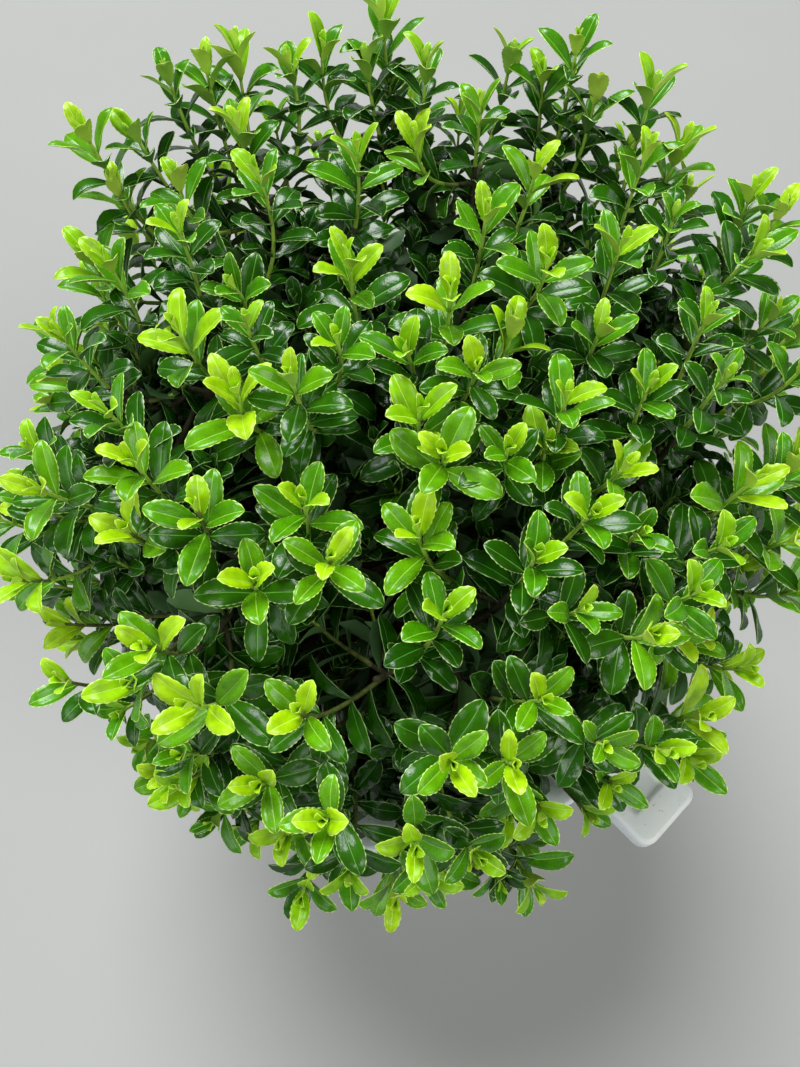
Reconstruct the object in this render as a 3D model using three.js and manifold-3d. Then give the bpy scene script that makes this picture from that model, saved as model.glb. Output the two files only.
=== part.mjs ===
// A small-leaved evergreen spindle shrub in a round pale plastic tub with two grip lugs.
// Millimetres, +Z up. The origin is the middle of the tub's flat underside.
import * as THREE from "three";
import { mergeVertices } from "three/addons/utils/BufferGeometryUtils.js";
import Module from "manifold-3d";

const wasm = await Module();
wasm.setup();

// Driving dimensions
const gap = 0.3; // between pieces that meet

const tubHeight = 240;
const footRadius = 150;
const footChamfer = 6;
const mouthRadius = 182; // outside of the wall, under the rim
const wall = 5;
const floorThickness = 8;
const rimRadius = 208;
const rimThickness = 8;
const rimDrop = 16; // height of the rim's skirt
const skirtThickness = 4;
const rimEase = 2; // its edges are eased by this much
const tubSides = 36;

const lugReach = 258; // from the tub's axis to the end of a lug
const lugWidth = 53;
const lugThickness = 18;
const lugStep = 0.5; // its top lies this much below the rim's
const lugSeat = 14; // how far it runs in under the rim
const lugCorner = 9;
const lugHollowSide = 12; // between the hollow in its top and its sides
const lugHollowEnd = 21; // between the hollow and its end
const lugHollowDepth = 4;
const lugHollowCorner = 3;
const lugTurn = THREE.MathUtils.degToRad(-47.6);

const soilLevel = 214;
const soilCrown = 6; // the soil is a little higher at the trunk

const trunkRadius = 12;
const trunkSides = 12;
const trunkSteps = 6;
const trunkThinning = 0.3; // share of its radius lost over its height
const trunkFlare = 7; // extra radius at the soil
const trunkHeight = 46;
const trunkLean = new THREE.Vector3(5, 2, 0); // over its height
const boughBaseRadius = 5.2;
const boughTipRadius = 3.2;
const boughSides = 7;
const boughSteps = 7;
const boughRise = 0.55; // how steeply a bough leaves the trunk
const boughRun = 0.55; // share of its length over which it keeps that heading
const boughEnd = 0.5; // share of the way out to the crown's outline
const lowestFork = 0.35; // shares of the trunk's height between which the boughs leave it
const highestFork = 0.85;
const leaderBaseRadius = 6.5;
const leaderRun = 60; // it keeps the trunk's heading this far
const leaderRise = 0.42; // share of the crown's height above its middle

const crownMiddle = 330; // height of the widest level
const crownReach = 236;
const crownRise = 184;
const crownFall = 106;
const crownFullness = 3.3; // 2 is an ellipsoid, more is boxier
const crownShift = 10; // its middle lies this far back from the tub's axis
const crownTilt = 0.0006; // heights over the soil grow by this share for each millimetre further back
const lowestPolar = THREE.MathUtils.degToRad(112);
const sectors = 7; // boughs round the leader, each with an upper and a lower mass
const firstTurn = 0.35; // the first bough's angle round the axis
const upperPolar = THREE.MathUtils.degToRad(48);
const lowerPolar = THREE.MathUtils.degToRad(94);
const massDepth = 0.74; // share of the way out at which a mass is centred

const stemRadius = 2.6;
const stemEndRadius = 2.2;
const stemSteps = 2;
const stemReach = 0.7; // share of the way from the limb to the middle of the mass
const lowerStemShare = 0.62; // where a lower mass's stem leaves its bough
const firstTwig = 0.97; // shares of a stem between which its twigs leave it
const lastTwig = 0.37;
const twigRadius = 2;
const tipRadius = 1.3;
const twigSteps = 5;

const shootCount = 70;
const topCrowding = 1.2; // 1 spreads the shoots evenly, more crowds them on top
const shootRuns = [96, 72, 48, 24]; // straight lengths that are tried for a shoot, the longest first
const sideLean = 1.25; // how far the lowest shoots lean outwards for each step up
const heightVariation = 16; // how far a shoot may stand back from the crown's outline

const leafLength = 60;
const leafWidth = 29;
const leafThickness = 1.6;
const leafRoot = 0.5; // how far a leaf's root passes its twig's middle
const leafStagger = 0.5; // how far the two leaves of a pair are apart along the twig, each way
const leafBelly = 0.56; // where a leaf is widest
const leafCup = 0.09; // how far its edges rise, for each millimetre of width
const leafDroop = 0.1; // how far its tip bends down, for each millimetre of length
const lowestPair = 0.02; // no leaf grows lower down a twig than this share of it
const tipPairDepth = 2;
const pairSpacing = 18.3;
const pairSpread = [24, 46, 64, 76, 84]; // degrees between a leaf and its twig, from the tip down
const pairSize = [0.5, 0.84, 1, 1, 0.95];
const smallerLeaves = [1, 0.78, 0.6]; // sizes that are tried where there is little room
const sliver = 0.03; // faces finer than this, left where leaves meet a twig, are closed up

const goldenAngle = Math.PI * (3 - Math.sqrt(5));
const up = new THREE.Vector3(0, 0, 1);

const tubWhite = new THREE.MeshStandardMaterial({ color: 0xd3d8dc, roughness: 0.42, metalness: 0 });
const soilBrown = new THREE.MeshStandardMaterial({ color: 0x33261c, roughness: 0.95, metalness: 0 });
const barkBrown = new THREE.MeshStandardMaterial({ color: 0x5c5136, roughness: 0.85, metalness: 0 });
const leafGreen = new THREE.MeshStandardMaterial({ color: 0x3f8a24, roughness: 0.35, metalness: 0 });

// Seeded numbers from 0 to 1: each is the last one times 16807, modulo 2147483647
function seeded(seed) {
  let state = seed;
  return () => {
    state = (state * 16807) % 2147483647;
    return state / 2147483647;
  };
}

function solidFrom(points, faces) {
  const made = new THREE.BufferGeometry();
  made.setAttribute("position", new THREE.Float32BufferAttribute(points, 3));
  made.setIndex(faces);
  return solidOf(made);
}

function solidOf(geometry) {
  geometry.deleteAttribute("normal");
  geometry.deleteAttribute("uv");
  const merged = mergeVertices(geometry, 1e-4);
  return new wasm.Manifold(
    new wasm.Mesh({
      numProp: 3,
      vertProperties: merged.attributes.position.array,
      triVerts: new Uint32Array(merged.index.array),
    }),
  );
}

function geometryOf(solid) {
  const mesh = solid.getMesh();
  const made = new THREE.BufferGeometry();
  made.setAttribute("position", new THREE.BufferAttribute(mesh.vertProperties, 3));
  made.setIndex(new THREE.BufferAttribute(mesh.triVerts, 1));
  made.computeVertexNormals();
  return made;
}

// A profile of radius and height pairs, turned round the upright axis
function turned(profile) {
  const outline = profile.map(([radius, height]) => new THREE.Vector2(radius, height));
  return solidOf(new THREE.LatheGeometry(outline, tubSides).rotateX(Math.PI / 2));
}

function joined(solids) {
  return solids.reduce((whole, next) => whole.add(next));
}

function largestBody(solid) {
  return solid.decompose().reduce((most, next) => (next.volume() > most.volume() ? next : most));
}

// A closed tapering limb: a flat-sided section carried along a curve and cut flat at both ends
function limbSolid(curve, radiusAt, sides, steps) {
  const frames = curve.computeFrenetFrames(steps, false);
  const points = [];
  const faces = [];
  for (let i = 0; i <= steps; i++) {
    const centre = curve.getPointAt(i / steps);
    const radius = radiusAt(i / steps);
    for (let j = 0; j < sides; j++) {
      const turn = (2 * Math.PI * j) / sides;
      const corner = centre
        .clone()
        .addScaledVector(frames.normals[i], radius * Math.cos(turn))
        .addScaledVector(frames.binormals[i], radius * Math.sin(turn));
      points.push(corner.x, corner.y, corner.z);
    }
  }
  for (let i = 0; i < steps; i++) {
    for (let j = 0; j < sides; j++) {
      const here = i * sides + j;
      const next = i * sides + ((j + 1) % sides);
      faces.push(here, next, here + sides, next, next + sides, here + sides);
    }
  }
  const last = steps * sides;
  for (let j = 1; j < sides - 1; j++) {
    faces.push(0, j + 1, j);
    faces.push(last, last + j, last + j + 1);
  }
  return solidFrom(points, faces);
}

function taper(from, to) {
  return (share) => from + (to - from) * share;
}

// A place in the middle of a limb, which runs straight between its steps
function placeOnLimb(curve, steps, share) {
  const step = Math.min(Math.floor(share * steps), steps - 1);
  return curve.getPointAt(step / steps).lerp(curve.getPointAt((step + 1) / steps), share * steps - step);
}

// The tub: a turned wall with a broad flat rim that is folded down at its edge
function tubWall() {
  return turned([
    [0, 0],
    [footRadius - footChamfer, 0],
    [footRadius, footChamfer],
    [mouthRadius, tubHeight - rimThickness],
    [rimRadius - skirtThickness, tubHeight - rimThickness],
    [rimRadius - skirtThickness, tubHeight - rimDrop],
    [rimRadius, tubHeight - rimDrop],
    [rimRadius, tubHeight - rimEase],
    [rimRadius - rimEase, tubHeight],
    [mouthRadius - wall + rimEase, tubHeight],
    [mouthRadius - wall, tubHeight - rimEase],
    [footRadius - wall, floorThickness],
    [0, floorThickness],
  ]);
}

// An upright block on a rectangle that runs out from the axis, with its two far corners rounded
function plate(near, far, width, corner, bottom, top, turn) {
  const half = width / 2;
  const outline = new THREE.Shape();
  outline.moveTo(near, -half);
  outline.lineTo(far - corner, -half);
  outline.absarc(far - corner, -half + corner, corner, -Math.PI / 2, 0, false);
  outline.lineTo(far, half - corner);
  outline.absarc(far - corner, half - corner, corner, 0, Math.PI / 2, false);
  outline.lineTo(near, half);
  const made = new THREE.ExtrudeGeometry(outline, {
    depth: top - bottom,
    bevelEnabled: false,
    curveSegments: 4,
  });
  return solidOf(made.translate(0, 0, bottom).rotateZ(turn));
}

// A flat grip lug that runs straight out from the rim
function lug(turn) {
  const top = tubHeight - lugStep;
  return plate(rimRadius - lugSeat, lugReach, lugWidth, lugCorner, tubHeight - lugThickness, top, turn);
}

// The shallow hollow in a lug's top
function lugHollow(turn) {
  const width = lugWidth - 2 * lugHollowSide;
  const floor = tubHeight - lugHollowDepth;
  const near = rimRadius + skirtThickness;
  return plate(near, lugReach - lugHollowEnd, width, lugHollowCorner, floor, tubHeight + 1, turn);
}

function tub() {
  const turns = [lugTurn, lugTurn + Math.PI];
  return joined([tubWall(), ...turns.map(lug)]).subtract(joined(turns.map(lugHollow)));
}

// The soil fills the tub inside its wall, rises a little towards the trunk and is flat under it
function soil() {
  const slope = (mouthRadius - footRadius) / (tubHeight - floorThickness);
  const insideAt = (z) => footRadius - wall - 2 * gap + slope * (z - floorThickness);
  const bottom = floorThickness + gap;
  const edge = soilLevel - soilCrown;
  const shoulder = 0.6; // share of the way out
  return turned([
    [0, bottom],
    [insideAt(bottom), bottom],
    [insideAt(edge), edge],
    [insideAt(edge) * shoulder, soilLevel - soilCrown * shoulder ** 2],
    [(trunkRadius + trunkFlare) * 1.5, soilLevel],
    [0, soilLevel],
  ]);
}

// The trunk stands on the soil, flares at its foot and leans a little before it forks
const trunkFoot = new THREE.Vector3(0, 0, soilLevel + gap);
const trunkTop = new THREE.Vector3(0, 0, soilLevel + trunkHeight).add(trunkLean);
const trunkLine = new THREE.QuadraticBezierCurve3(
  trunkFoot,
  new THREE.Vector3(0, 0, soilLevel + trunkHeight / 2),
  trunkTop,
);
const trunkRadiusAt = (share) => trunkRadius * (1 - trunkThinning * share) + trunkFlare * (1 - share) ** 3;

// A place on the crown's outline, by its angle from straight up and its angle round the axis
function crownPlace(polar, azimuth, share = 1) {
  const across = Math.sin(polar);
  const rise = Math.cos(polar);
  const size = share / (across ** crownFullness + Math.abs(rise) ** crownFullness) ** (1 / crownFullness);
  const radius = crownReach * across * size;
  const back = radius * Math.sin(azimuth);
  const level = crownMiddle + (rise > 0 ? crownRise : crownFall) * rise * size - soilLevel;
  return new THREE.Vector3(
    radius * Math.cos(azimuth),
    back + crownShift,
    soilLevel + level * (1 + crownTilt * back),
  );
}

const upperTurn = (k) => (2 * Math.PI * k) / sectors + firstTurn;
const lowerTurn = (k) => upperTurn(k) + Math.PI / sectors;

// One bough leaves the trunk for each sector, and bends up to its upper mass
function boughLine(k) {
  const turn = upperTurn(k);
  const level = lowestFork + ((highestFork - lowestFork) * ((k * 3) % sectors)) / sectors;
  const out = new THREE.Vector3(Math.cos(turn), Math.sin(turn), boughRise).normalize();
  const root = trunkLine.getPointAt(level);
  const tip = crownPlace(upperPolar, turn, boughEnd);
  const bend = root.clone().addScaledVector(out, root.distanceTo(tip) * boughRun);
  return new THREE.QuadraticBezierCurve3(root, bend, tip);
}

// The leader carries straight on from the trunk's top
function leaderLine() {
  const heading = trunkLine.getTangentAt(1);
  const tip = crownPlace(0, 0, leaderRise);
  return new THREE.QuadraticBezierCurve3(
    trunkTop.clone().addScaledVector(heading, gap),
    trunkTop.clone().addScaledVector(heading, leaderRun),
    tip,
  );
}

// Foliage masses: one on top, and an upper and a lower one for each sector.
// Each has a stem that carries on from its bough's tip, or that leaves the bough lower down.
function masses() {
  const list = [{ name: "foliage_top", centre: crownPlace(0, 0, massDepth), ...beyondTip(leaderLine()) }];
  for (let k = 0; k < sectors; k++) {
    const centre = crownPlace(upperPolar, upperTurn(k), massDepth);
    list.push({ name: `foliage_upper_${k + 1}`, centre, ...beyondTip(boughLine(k)) });
  }
  for (let k = 0; k < sectors; k++) {
    const centre = crownPlace(lowerPolar, lowerTurn(k), massDepth);
    list.push({ name: `foliage_lower_${k + 1}`, centre, ...besideBough(boughLine(k), centre) });
  }
  return list;
}

function beyondTip(line) {
  const heading = line.getTangentAt(1);
  return { from: line.getPointAt(1).addScaledVector(heading, gap), heading };
}

function besideBough(line, centre) {
  const from = line.getPointAt(lowerStemShare);
  return { from, heading: centre.clone().sub(from).normalize() };
}

// How far a place lies inside a mass's own space, which ends half way to each neighbour's middle
function roomIn(mass, all, place) {
  let room = Infinity;
  for (const other of all) {
    if (other === mass) continue;
    const apart = mass.centre.distanceTo(other.centre);
    const lead = place.distanceToSquared(other.centre) - place.distanceToSquared(mass.centre);
    room = Math.min(room, lead / (2 * apart));
  }
  return room;
}

// The shoots' tips are spread over the crown's outline by the golden angle, each set back a little
function shoots() {
  const random = seeded(4711);
  const list = [];
  for (let i = 0; i < shootCount; i++) {
    const share = ((i + 0.5) / shootCount) ** topCrowding;
    const polar = Math.acos(1 - share * (1 - Math.cos(lowestPolar)));
    const azimuth = i * goldenAngle;
    const outward = new THREE.Vector3(Math.cos(azimuth), Math.sin(azimuth), 0);
    const heading = up.clone().addScaledVector(outward, sideLean * (polar / lowestPolar) ** 2).normalize();
    const tip = crownPlace(polar, azimuth).addScaledVector(heading, -heightVariation * random());
    list.push({ tip, heading, spin: random() * Math.PI });
  }
  return list;
}

function massStem(mass) {
  const hub = mass.from.clone().lerp(mass.centre, stemReach);
  const bend = mass.from.clone().addScaledVector(mass.heading, mass.from.distanceTo(hub) / 2);
  return new THREE.QuadraticBezierCurve3(mass.from, bend, hub);
}

// A twig runs from its mass's stem into the heading of its shoot, over a length for which there is room
function twigLine(mass, all, root, shoot) {
  for (const run of shootRuns) {
    const bend = shoot.tip.clone().addScaledVector(shoot.heading, -run);
    const line = new THREE.QuadraticBezierCurve3(root, bend, shoot.tip);
    const places = line.getSpacedPoints(twigSteps);
    if (places.every((place) => roomIn(mass, all, place) > twigRadius)) return line;
  }
  return null;
}

// The shoots that end in a mass's space, each with its twig
function grownShoots(mass, all, stem) {
  const own = shoots().filter((shoot) => roomIn(mass, all, shoot.tip) > 0);
  own.forEach((shoot, i) => {
    const root = placeOnLimb(stem, stemSteps, firstTwig + ((lastTwig - firstTwig) * i) / own.length);
    shoot.twig = twigLine(mass, all, root, shoot);
  });
  return own.filter((shoot) => shoot.twig);
}

// The pairs of leaves down a twig, each a quarter turn on from the pair above
function leafPairs(twig, spin) {
  const length = twig.getLength();
  const leaves = [];
  for (let pair = 0; pair < pairSpread.length; pair++) {
    const share = Math.max(1 - (tipPairDepth + pairSpacing * pair) / length, lowestPair);
    const place = placeOnLimb(twig, twigSteps, share);
    const axis = twig.getTangentAt(share);
    const spread = THREE.MathUtils.degToRad(pairSpread[pair]);
    const across = new THREE.Vector3(1, 0, 0).applyAxisAngle(up, spin + (pair * Math.PI) / 2);
    across.addScaledVector(axis, -across.dot(axis)).normalize();
    for (const hand of [1, -1]) {
      const along = axis
        .clone()
        .multiplyScalar(Math.cos(spread))
        .addScaledVector(across, hand * Math.sin(spread));
      const lift = axis.clone().addScaledVector(along, -axis.dot(along)).normalize();
      const root = place.clone().addScaledVector(axis, hand * leafStagger);
      leaves.push({ root, along, lift, size: pairSize[pair] });
    }
  }
  return leaves;
}

// A leaf with a thick middle and a sharp edge: its root is sunk in the twig and its tip bends down
function leafPoints({ root, along, lift }, length, width) {
  const side = lift.clone().cross(along).normalize();
  const at = (share, aside, rise) =>
    root
      .clone()
      .addScaledVector(along, share * length)
      .addScaledVector(side, aside * width)
      .addScaledVector(lift, rise);
  return [
    at(-leafRoot / length, 0, 0),
    at(1, 0, -leafDroop * length),
    at(leafBelly, 0.5, leafCup * width),
    at(leafBelly, -0.5, leafCup * width),
    at(0.5, 0, leafThickness / 2),
    at(0.5, 0, -leafThickness / 2),
  ];
}

function leafSolid(places) {
  const faces = [0, 4, 2, 2, 4, 1, 1, 4, 3, 3, 4, 0, 2, 5, 0, 1, 5, 2, 3, 5, 1, 0, 5, 3];
  return solidFrom(places.flatMap((place) => place.toArray()), faces);
}

// A leaf at the largest size that stays in its mass's space and clear of what is already there
function fittedLeaf(leaf, mass, all, taken) {
  for (const part of smallerLeaves) {
    const size = leaf.size * part;
    const places = leafPoints(leaf, leafLength * size, leafWidth * size);
    if (places.some((corner) => roomIn(mass, all, corner) < gap)) continue;
    const solid = leafSolid(places);
    if (solid.intersect(taken).isEmpty()) return solid;
  }
  return null;
}

// One mass: its stem, a twig to each of its shoots, and crossed pairs of leaves along each twig.
// A leaf keeps clear of the limbs, the tub, the other twigs and the leaves of earlier shoots,
// and the stem is cut off where it meets the bark.
function foliage(mass, all, keepClear) {
  const stem = massStem(mass);
  const own = grownShoots(mass, all, stem);
  const wood = own.map((shoot) => limbSolid(shoot.twig, taper(twigRadius, tipRadius), 3, twigSteps));
  const pieces = [limbSolid(stem, taper(stemRadius, stemEndRadius), 3, stemSteps), ...wood];
  let taken = keepClear;
  own.forEach((shoot, i) => {
    const around = joined([taken, ...wood.filter((_, j) => j !== i)]);
    const leaves = leafPairs(shoot.twig, shoot.spin)
      .map((leaf) => fittedLeaf(leaf, mass, all, around))
      .filter((leaf) => leaf);
    pieces.push(...leaves);
    taken = joined([taken, ...leaves]);
  });
  return largestBody(joined(pieces).subtract(keepClear).asOriginal().simplify(sliver));
}

function mesh(name, solid, material) {
  const made = new THREE.Mesh(geometryOf(solid), material);
  made.name = name;
  return made;
}

// The trunk, the leader and the boughs, each with its bark raised by some clearance
function limbs(clearance) {
  const raised = (radiusAt, sides) => (share) => radiusAt(share) + clearance / Math.cos(Math.PI / sides);
  const bough = (line, baseRadius) =>
    limbSolid(line, raised(taper(baseRadius, boughTipRadius), boughSides), boughSides, boughSteps);
  const boughs = [];
  for (let k = 0; k < sectors; k++) boughs.push(bough(boughLine(k), boughBaseRadius));
  return {
    trunk: limbSolid(trunkLine, raised(trunkRadiusAt, trunkSides), trunkSides, trunkSteps),
    leader: bough(leaderLine(), leaderBaseRadius),
    boughs,
  };
}

const shrub = new THREE.Group();
const tubSolid = tub();
const { trunk, leader, boughs } = limbs(0);
const clearOf = limbs(gap);

shrub.add(mesh("planter", tubSolid, tubWhite));
shrub.add(mesh("potting_soil", soil(), soilBrown));
shrub.add(mesh("trunk", trunk, barkBrown));
shrub.add(mesh("bough_leader", leader, barkBrown));
boughs.forEach((bough, k) => shrub.add(mesh(`bough_${k + 1}`, bough.subtract(clearOf.trunk), barkBrown)));

const keepClear = joined([tubSolid, clearOf.trunk, clearOf.leader, ...clearOf.boughs]);
const all = masses();
for (const mass of all) shrub.add(mesh(mass.name, foliage(mass, all, keepClear), leafGreen));

export default shrub;
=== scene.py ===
# A small-leaved evergreen spindle shrub in a round pale plastic tub with two grip lugs, in metres.
# Every limb, shoot and leaf grows from one rule, and the colours of the leaves go by their age.
import math

import bpy
import numpy as np
from mathutils import Matrix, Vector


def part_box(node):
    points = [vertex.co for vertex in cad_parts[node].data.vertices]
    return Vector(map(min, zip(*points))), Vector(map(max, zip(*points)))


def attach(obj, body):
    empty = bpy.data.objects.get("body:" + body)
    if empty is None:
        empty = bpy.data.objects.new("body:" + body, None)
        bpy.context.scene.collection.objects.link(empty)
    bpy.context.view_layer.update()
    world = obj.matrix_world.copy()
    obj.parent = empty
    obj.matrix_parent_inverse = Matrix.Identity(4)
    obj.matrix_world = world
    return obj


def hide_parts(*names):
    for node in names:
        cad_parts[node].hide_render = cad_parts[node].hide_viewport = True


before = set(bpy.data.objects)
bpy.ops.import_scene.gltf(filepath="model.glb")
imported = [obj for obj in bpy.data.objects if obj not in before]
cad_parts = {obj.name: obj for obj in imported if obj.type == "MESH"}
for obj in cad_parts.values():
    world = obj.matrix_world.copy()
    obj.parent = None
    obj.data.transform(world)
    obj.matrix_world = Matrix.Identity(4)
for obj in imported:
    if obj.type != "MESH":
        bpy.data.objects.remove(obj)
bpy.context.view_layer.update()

scene = bpy.context.scene
massNodes = sorted(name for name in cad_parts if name.startswith("foliage_"))
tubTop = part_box("planter")[1].z
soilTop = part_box("potting_soil")[1].z
goldenAngle = math.pi * (3 - math.sqrt(5))
up = np.array([0.0, 0.0, 1.0])
hashFactors = (73856093, 19349663, 83492791, 2654435761, 1274126177)
hashLevels = 4096


# Vectors, one in each row

def unit(rows):
    return rows / np.maximum(np.linalg.norm(rows, axis=-1, keepdims=True), 1e-12)


def dot(a, b):
    return (a * b).sum(-1, keepdims=True)


def facing(axis, hint):
    # what is left of the hint once its share along the axis is taken out
    return unit(hint - dot(hint, axis) * axis)


def mixed(a, b, share):
    return a + (b - a) * share


def lehmer(seed, count):
    # each number is the last one times 16807, modulo the prime 2^31 - 1
    prime = 2**31 - 1
    state, found = seed, []
    for _ in range(count):
        state = state * 16807 % prime
        found.append(state / prime)
    return np.array(found)


def smoothNoise(points, cell, seed):
    # random numbers at the corners of a cubic lattice, blended across each cube by 3t^2 - 2t^3; a corner's
    # number comes from its whole coordinates and the seed, by factors and shifts that mix their bits
    place = points / cell
    corner = np.floor(place).astype(np.int64)
    share = place - corner
    share = share * share * (3 - 2 * share)
    total = np.zeros(points.shape[:-1])
    byX, byY, byZ, bySeed, again = hashFactors
    for step in np.ndindex(2, 2, 2):
        at = corner + np.array(step)
        code = at[..., 0] * byX ^ at[..., 1] * byY ^ at[..., 2] * byZ ^ seed * bySeed
        code = (code ^ (code >> 13)) * again & 0x7FFFFFFF
        weight = np.prod(np.where(np.array(step) == 1, share, 1 - share), axis=-1)
        total += weight * ((code >> 7) % hashLevels) / (hashLevels - 1)
    return total


# Paths

def bends(start, bend, end, count, samples=65):
    # (1-t)^2 start + 2t(1-t) bend + t^2 end, walked in even steps of its length; one path in each row
    t = np.linspace(0, 1, samples)[:, None]
    start, bend, end = (np.asarray(p)[:, None] for p in (start, bend, end))
    dense = (1 - t) ** 2 * start + 2 * t * (1 - t) * bend + t**2 * end
    walked = np.cumsum(np.linalg.norm(np.diff(dense, axis=1), axis=2), axis=1)
    walked = np.pad(walked, ((0, 0), (1, 0)))
    even = np.linspace(0, 1, count)
    paths = np.empty((len(dense), count, 3))
    for i, line in enumerate(dense):
        for axis in range(3):
            paths[i, :, axis] = np.interp(even * walked[i, -1], walked[i], line[:, axis])
    return paths


def onPaths(paths, share):
    # the place and heading at a share of each path's length; share has a row for each path
    steps = paths.shape[1] - 1
    at = np.clip(share, 0, 1) * steps
    low = np.minimum(np.floor(at).astype(int), steps - 1)
    rows = np.arange(len(paths)).reshape(-1, *([1] * (share.ndim - 1)))
    here, beyond = paths[rows, low], paths[rows, low + 1]
    return mixed(here, beyond, (at - low)[..., None]), unit(beyond - here)


def lengths(paths):
    return np.linalg.norm(np.diff(paths, axis=1), axis=2).sum(1)


def sweep(paths, radii, sides, relief=None):
    # ring k is its centre + radius * (cos a * normal + sin a * binormal), the normal carried on by projection
    heading = unit(np.gradient(paths, axis=1))
    leaning = np.abs(heading[:, :1, 2:]) < 0.9
    hint = np.where(leaning, up, np.array([1.0, 0, 0]))
    normal = np.empty_like(paths)
    normal[:, 0] = facing(heading[:, 0], hint[:, 0])
    for k in range(1, paths.shape[1]):
        normal[:, k] = facing(heading[:, k], normal[:, k - 1])
    binormal = np.cross(heading, normal)
    angle = 2 * math.pi * np.arange(sides) / sides
    around = np.cos(angle)[:, None] * normal[:, :, None] + np.sin(angle)[:, None] * binormal[:, :, None]
    points = paths[:, :, None] + radii[:, :, None, None] * around
    if relief is not None:
        points = points + relief(points, np.broadcast_to(angle, points.shape[:3]), radii)[..., None] * around
    return points


def sweepFaces(count, rings, sides):
    # four-sided faces from ring to ring, and a cap on each end
    index = np.arange(count * rings * sides).reshape(count, rings, sides)
    onward = np.roll(index, -1, axis=2)
    quads = np.stack([index[:, :-1], onward[:, :-1], onward[:, 1:], index[:, 1:]], axis=-1)
    return [quads.reshape(-1, 4), index[:, 0, ::-1], index[:, -1]]


def turnedFaces(rings, sides):
    # rings run outwards and up from the bottom's middle, so a step round then a step on faces out
    return sweepFaces(1, rings, sides)


# Pieces

def addPiece(name, points, faces, finishes, kinds=None, smooth=True):
    # faces holds arrays whose rows are faces of one size; kinds gives each face its finish
    sizes = np.concatenate([np.full(len(rows), rows.shape[1]) for rows in faces])
    mesh = bpy.data.meshes.new(name)
    mesh.vertices.add(len(points))
    mesh.vertices.foreach_set("co", np.asarray(points, np.float32).ravel())
    loops = np.concatenate([rows.ravel() for rows in faces]).astype(np.int32)
    mesh.loops.add(len(loops))
    mesh.loops.foreach_set("vertex_index", loops)
    mesh.polygons.add(len(sizes))
    mesh.polygons.foreach_set("loop_start", (np.cumsum(sizes) - sizes).astype(np.int32))
    mesh.polygons.foreach_set("use_smooth", np.full(len(sizes), smooth))
    for finish in finishes:
        mesh.materials.append(finish)
    if kinds is not None:
        mesh.polygons.foreach_set("material_index", kinds.astype(np.int32))
    mesh.update(calc_edges=True)
    mesh.validate()
    piece = bpy.data.objects.new(name, mesh)
    scene.collection.objects.link(piece)
    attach(piece, "root")
    return piece


def sharpEdges(piece, degrees):
    piece.data.set_sharp_from_angle(angle=math.radians(degrees))


# Finishes

class Signal:
    # a socket whose arithmetic adds Math nodes
    def __init__(self, finish, socket):
        self.finish, self.socket = finish, socket

    def maths(self, operation, *values):
        return self.finish.node("ShaderNodeMath", {"operation": operation}, dict(enumerate(values)))

    def __add__(self, other):
        return self.maths("ADD", self, other)

    __radd__ = __add__

    def __sub__(self, other):
        return self.maths("SUBTRACT", self, other)

    def __rsub__(self, other):
        return self.maths("SUBTRACT", other, self)

    def __mul__(self, other):
        return self.maths("MULTIPLY", self, other)

    __rmul__ = __mul__


class Finish:
    def __init__(self, name, ior):
        self.material = bpy.data.materials.new(name)
        self.material.use_nodes = True
        self.tree = self.material.node_tree
        self.shader = self.tree.nodes["Principled BSDF"]
        self.feed("IOR", ior)
        self.place = self.node("ShaderNodeTexCoord", out="Object")

    def plug(self, socket, value):
        # a signal is linked, anything else is set
        if isinstance(value, Signal):
            self.tree.links.new(value.socket, socket)
        else:
            socket.default_value = value

    def feed(self, name, value):
        self.plug(self.shader.inputs[name], value)

    def node(self, kind, settings=None, values=None, out=0):
        made = self.tree.nodes.new(kind)
        for key, value in (settings or {}).items():
            setattr(made, key, value)
        for key, value in (values or {}).items():
            self.plug(made.inputs[key], value)
        return Signal(self, made.outputs[out])

    def noise(self, scale, detail, roughness=0.5, place=None):
        # scale is in cells to the metre
        values = {"Vector": place or self.place, "Scale": scale, "Detail": detail, "Roughness": roughness}
        return self.node("ShaderNodeTexNoise", None, values)

    def stretched(self, factors):
        settings = {"operation": "MULTIPLY"}
        return self.node("ShaderNodeVectorMath", settings, {0: self.place, 1: factors})

    def spread(self, signal, low, high):
        # 0 below low, 1 above high, smooth between
        settings = {"interpolation_type": "SMOOTHSTEP", "clamp": True}
        return self.node("ShaderNodeMapRange", settings, {"Value": signal, "From Min": low, "From Max": high})

    def blend(self, a, b, factor):
        return self.node("ShaderNodeMix", {"data_type": "RGBA"}, {0: factor, 6: a, 7: b}, out=2)

    def bump(self, height, distance, strength):
        values = {"Height": height, "Distance": distance, "Strength": strength}
        self.feed("Normal", self.node("ShaderNodeBump", None, values))


def colour(red, green, blue):
    # screen values from 0 to 255, made linear
    share = np.array([red, green, blue]) / 255
    linear = np.where(share <= 0.04045, share / 12.92, ((share + 0.055) / 1.055) ** 2.4)
    return (*linear.tolist(), 1.0)


def scaled(shade, factor):
    return (*(channel * factor for channel in shade[:3]), 1.0)


# Noises are scale, detail and roughness. Greens are shares of a kind's own, the darker first, and
# roughness is what is added to a kind's own, and what the noise adds.
bladeTexture = {
    "ior": 1.44,
    "mottle": (140, 3),
    "mottleEdges": (0.3, 0.7),
    "greens": (0.82, 1.14),
    "grain": (900, 2),
    "dents": (260, 2),
    "dentDepth": 0.6,  # as a share of the grain's
    "roughness": (-0.06, 0.14),
    "bump": (0.00022, 0.5),  # distance and strength
}

plainTexture = {
    "ior": 1.45,
    "mottle": (300, 2),
    "greens": (0.9, 1.1),
    "roughness": (-0.05, 0.1),
}


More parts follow.
